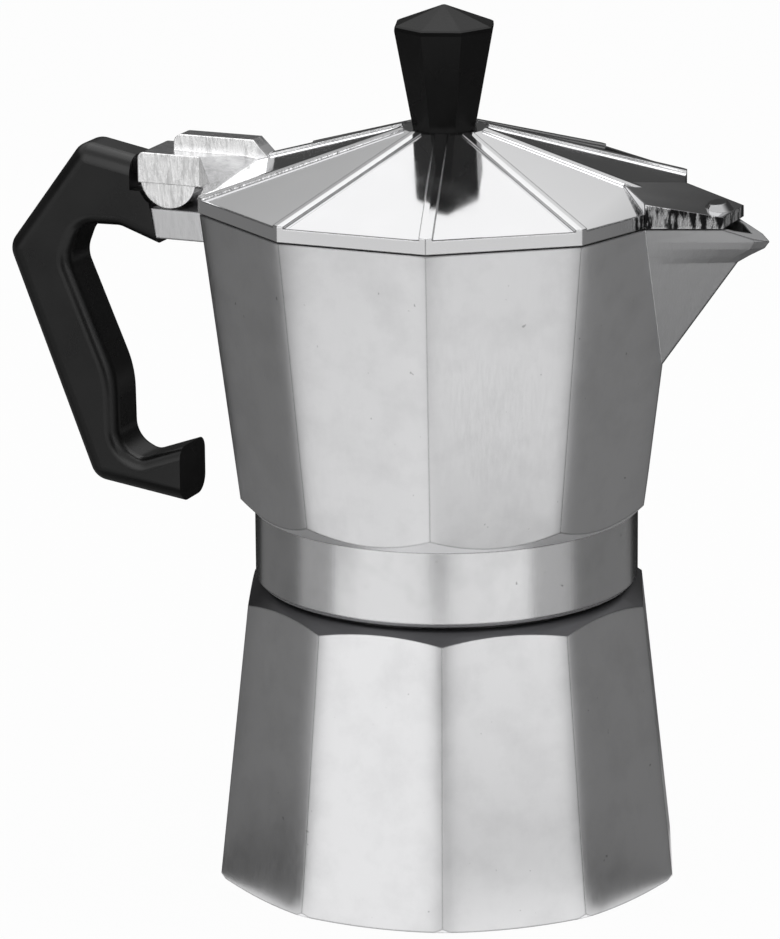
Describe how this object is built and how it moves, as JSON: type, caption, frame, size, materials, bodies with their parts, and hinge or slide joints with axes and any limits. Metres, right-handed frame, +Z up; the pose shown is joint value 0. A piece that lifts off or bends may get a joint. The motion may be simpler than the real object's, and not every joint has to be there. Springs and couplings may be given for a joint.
{
  "type": "moka pot",
  "caption": "Stove-top coffee maker with a faceted aluminium boiler and screw-on upper pot, hinged lid with knob, spout and black side handle.",
  "frame": {"origin": "centre of the boiler's flat underside, which rests on the stove", "axes": "+Z up along the pot's axis, +X along the spout, -X along the handle"},
  "size_m": [0.1514, 0.0948, 0.165],
  "materials": {
    "cast_aluminium": "satin, faintly brushed cast facets",
    "polished_aluminium": "polished",
    "drawn_aluminium": "smooth drawn sheet",
    "brass": "turned",
    "steel": "bright",
    "black_plastic": "fine matt moulding",
    "rubber": "soft"
  },
  "bodies": {
    "boiler": {"boiler": "cast_aluminium", "valve_body": "brass", "valve_washer": "rubber", "valve_seat": "brass", "valve_spring": "steel"},
    "valve": {"valve_stem": "brass"},
    "funnel": {"funnel": "drawn_aluminium", "funnel_stem": "drawn_aluminium", "funnel_strainer": "drawn_aluminium"},
    "gasket": {"gasket": "rubber"},
    "filter": {"filter_plate": "drawn_aluminium"},
    "collector": {"upper_pot": "cast_aluminium", "column": "drawn_aluminium", "handle": "black_plastic", "handle_screw": "steel", "hinge_pin": "steel"},
    "lid": {"lid": "polished_aluminium", "knob": "black_plastic", "knob_screw": "steel", "knob_washer": "steel"}
  },
  "joints": [
    {"name": "valve_lift", "type": "slide", "parent": "boiler", "child": "valve", "axis": [-0.0506, 0.9987, 0], "range_m": [0, 0.0015], "stiffness_N_per_m": 800, "springref_m": -0.0015, "deforming": ["valve_spring"]},
    {"name": "funnel_lift", "type": "slide", "parent": "boiler", "child": "funnel", "axis": [0, 0, 1], "range_m": [0, 0.066]},
    {"name": "collector_lift", "type": "slide", "parent": "funnel", "child": "gasket", "axis": [0, 0, 1], "range_m": [0, 0.04]},
    {"name": "thread_rise", "type": "slide", "parent": "gasket", "child": "filter", "axis": [0, 0, 1], "range_m": [0, 0.00601]},
    {"name": "pot_turn", "type": "hinge", "parent": "filter", "child": "collector", "pos_m": [0, 0, 0.0745], "axis": [0, 0, 1], "range_deg": [0, 720]},
    {"name": "lid_hinge", "type": "hinge", "parent": "collector", "child": "lid", "pos_m": [-0.0576, 0, 0.1304], "axis": [0, -1, 0], "range_deg": [0, 95]}
  ],
  "couplings": [
    {"joint": "thread_rise", "follows": "pot_turn", "m_per_rad": 0.00047746}
  ]
}
